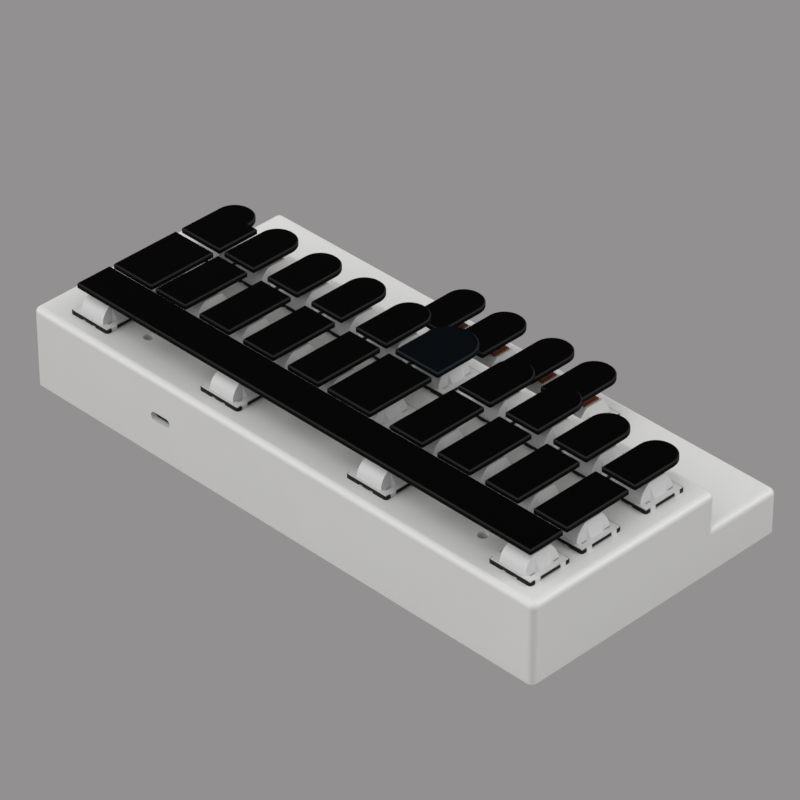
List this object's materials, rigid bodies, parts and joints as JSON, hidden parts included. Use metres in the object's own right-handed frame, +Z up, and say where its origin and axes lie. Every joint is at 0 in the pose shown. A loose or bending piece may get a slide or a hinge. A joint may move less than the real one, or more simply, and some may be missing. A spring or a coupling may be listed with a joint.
{
  "type": "stenotype machine",
  "caption": "Compact stepped desktop stenotype machine with flat chord keys, a long number bar, thumb keys on a lower deck and a port slot in its back wall.",
  "frame": {"origin": "middle of the overall box in plan, on the surface the feet stand on", "axes": "+Z up; +X to the user's right, along the rows of keys; +Y to the back, the side with the number bar and the port"},
  "size_m": [0.1986, 0.0978, 0.0387],
  "materials": {
    "case": "fine matt",
    "case_plate": "fine matt",
    "foot_rubber": "moulded",
    "fasteners": "machined",
    "switch_base": "moulded",
    "switch_housing": "moulded, slightly milky",
    "switch_metal": "drawn and stamped",
    "board": "solder mask on glass fibre",
    "module": "assembled board",
    "cap": "smooth matt",
    "navy_cap": "smooth matt",
    "slider": "moulded"
  },
  "bodies": {
    "machine": {"case_shell": "case", "bottom_plate": "case_plate", "rubber_feet": "foot_rubber", "case_fasteners": "fasteners", "switch_bases": "switch_base", "switch_housings": "switch_housing", "switch_metalwork": "switch_metal", "main_board": "board", "thumb_board": "board", "controller_module": "module"},
    "left_s_upper_key": {"left_s_upper_cap": "cap", "left_s_upper_slider": "slider"},
    "left_t_key": {"left_t_cap": "cap", "left_t_slider": "slider"},
    "left_p_key": {"left_p_cap": "cap", "left_p_slider": "slider"},
    "left_h_key": {"left_h_cap": "cap", "left_h_slider": "slider"},
    "star_upper_key": {"star_upper_cap": "cap", "star_upper_slider": "slider"},
    "right_f_key": {"right_f_cap": "cap", "right_f_slider": "slider"},
    "right_p_key": {"right_p_cap": "cap", "right_p_slider": "slider"},
    "right_l_key": {"right_l_cap": "cap", "right_l_slider": "slider"},
    "right_t_key": {"right_t_cap": "cap", "right_t_slider": "slider"},
    "right_d_key": {"right_d_cap": "cap", "right_d_slider": "slider"},
    "left_s_lower_key": {"left_s_lower_cap": "cap", "left_s_lower_slider": "slider"},
    "left_k_key": {"left_k_cap": "cap", "left_k_slider": "slider"},
    "left_w_key": {"left_w_cap": "cap", "left_w_slider": "slider"},
    "left_r_key": {"left_r_cap": "cap", "left_r_slider": "slider"},
    "star_lower_key": {"star_lower_cap": "navy_cap", "star_lower_slider": "slider"},
    "right_r_key": {"right_r_cap": "cap", "right_r_slider": "slider"},
    "right_b_key": {"right_b_cap": "cap", "right_b_slider": "slider"},
    "right_g_key": {"right_g_cap": "cap", "right_g_slider": "slider"},
    "right_s_key": {"right_s_cap": "cap", "right_s_slider": "slider"},
    "right_z_key": {"right_z_cap": "cap", "right_z_slider": "slider"},
    "left_a_key": {"left_a_cap": "cap", "left_a_slider": "slider"},
    "left_o_key": {"left_o_cap": "cap", "left_o_slider": "slider"},
    "right_e_key": {"right_e_cap": "cap", "right_e_slider": "slider"},
    "right_u_key": {"right_u_cap": "cap", "right_u_slider": "slider"},
    "number_bar_key": {"number_bar_cap": "cap", "number_bar_sliders": "slider"}
  },
  "joints": [
    {"name": "left_s_upper_press", "type": "slide", "parent": "machine", "child": "left_s_upper_key", "axis": [0, 0, -1], "range_m": [0, 0.0022], "stiffness_N_per_m": 75, "springref_m": -0.004, "deforming": ["switch_metalwork"]},
    {"name": "left_t_press", "type": "slide", "parent": "machine", "child": "left_t_key", "axis": [0, 0, -1], "range_m": [0, 0.0022], "stiffness_N_per_m": 75, "springref_m": -0.004},
    {"name": "left_p_press", "type": "slide", "parent": "machine", "child": "left_p_key", "axis": [0, 0, -1], "range_m": [0, 0.0022], "stiffness_N_per_m": 75, "springref_m": -0.004},
    {"name": "left_h_press", "type": "slide", "parent": "machine", "child": "left_h_key", "axis": [0, 0, -1], "range_m": [0, 0.0022], "stiffness_N_per_m": 75, "springref_m": -0.004},
    {"name": "star_upper_press", "type": "slide", "parent": "machine", "child": "star_upper_key", "axis": [0, 0, -1], "range_m": [0, 0.0022], "stiffness_N_per_m": 75, "springref_m": -0.004},
    {"name": "right_f_press", "type": "slide", "parent": "machine", "child": "right_f_key", "axis": [0, 0, -1], "range_m": [0, 0.0022], "stiffness_N_per_m": 75, "springref_m": -0.004},
    {"name": "right_p_press", "type": "slide", "parent": "machine", "child": "right_p_key", "axis": [0, 0, -1], "range_m": [0, 0.0022], "stiffness_N_per_m": 75, "springref_m": -0.004},
    {"name": "right_l_press", "type": "slide", "parent": "machine", "child": "right_l_key", "axis": [0, 0, -1], "range_m": [0, 0.0022], "stiffness_N_per_m": 75, "springref_m": -0.004},
    {"name": "right_t_press", "type": "slide", "parent": "machine", "child": "right_t_key", "axis": [0, 0, -1], "range_m": [0, 0.0022], "stiffness_N_per_m": 75, "springref_m": -0.004},
    {"name": "right_d_press", "type": "slide", "parent": "machine", "child": "right_d_key", "axis": [0, 0, -1], "range_m": [0, 0.0022], "stiffness_N_per_m": 75, "springref_m": -0.004},
    {"name": "left_s_lower_press", "type": "slide", "parent": "machine", "child": "left_s_lower_key", "axis": [0, 0, -1], "range_m": [0, 0.0022], "stiffness_N_per_m": 75, "springref_m": -0.004},
    {"name": "left_k_press", "type": "slide", "parent": "machine", "child": "left_k_key", "axis": [0, 0, -1], "range_m": [0, 0.0022], "stiffness_N_per_m": 75, "springref_m": -0.004},
    {"name": "left_w_press", "type": "slide", "parent": "machine", "child": "left_w_key", "axis": [0, 0, -1], "range_m": [0, 0.0022], "stiffness_N_per_m": 75, "springref_m": -0.004},
    {"name": "left_r_press", "type": "slide", "parent": "machine", "child": "left_r_key", "axis": [0, 0, -1], "range_m": [0, 0.0022], "stiffness_N_per_m": 75, "springref_m": -0.004},
    {"name": "star_lower_press", "type": "slide", "parent": "machine", "child": "star_lower_key", "axis": [0, 0, -1], "range_m": [0, 0.0022], "stiffness_N_per_m": 75, "springref_m": -0.004},
    {"name": "right_r_press", "type": "slide", "parent": "machine", "child": "right_r_key", "axis": [0, 0, -1], "range_m": [0, 0.0022], "stiffness_N_per_m": 75, "springref_m": -0.004},
    {"name": "right_b_press", "type": "slide", "parent": "machine", "child": "right_b_key", "axis": [0, 0, -1], "range_m": [0, 0.0022], "stiffness_N_per_m": 75, "springref_m": -0.004},
    {"name": "right_g_press", "type": "slide", "parent": "machine", "child": "right_g_key", "axis": [0, 0, -1], "range_m": [0, 0.0022], "stiffness_N_per_m": 75, "springref_m": -0.004},
    {"name": "right_s_press", "type": "slide", "parent": "machine", "child": "right_s_key", "axis": [0, 0, -1], "range_m": [0, 0.0022], "stiffness_N_per_m": 75, "springref_m": -0.004},
    {"name": "right_z_press", "type": "slide", "parent": "machine", "child": "right_z_key", "axis": [0, 0, -1], "range_m": [0, 0.0022], "stiffness_N_per_m": 75, "springref_m": -0.004},
    {"name": "left_a_press", "type": "slide", "parent": "machine", "child": "left_a_key", "axis": [0, 0, -1], "range_m": [0, 0.004], "stiffness_N_per_m": 75, "springref_m": -0.004},
    {"name": "left_o_press", "type": "slide", "parent": "machine", "child": "left_o_key", "axis": [0, 0, -1], "range_m": [0, 0.004], "stiffness_N_per_m": 75, "springref_m": -0.004},
    {"name": "right_e_press", "type": "slide", "parent": "machine", "child": "right_e_key", "axis": [0, 0, -1], "range_m": [0, 0.004], "stiffness_N_per_m": 75, "springref_m": -0.004},
    {"name": "right_u_press", "type": "slide", "parent": "machine", "child": "right_u_key", "axis": [0, 0, -1], "range_m": [0, 0.004], "stiffness_N_per_m": 75, "springref_m": -0.004},
    {"name": "number_bar_press", "type": "slide", "parent": "machine", "child": "number_bar_key", "axis": [0, 0, -1], "range_m": [0, 0.0022], "stiffness_N_per_m": 300, "springref_m": -0.004}
  ]
}
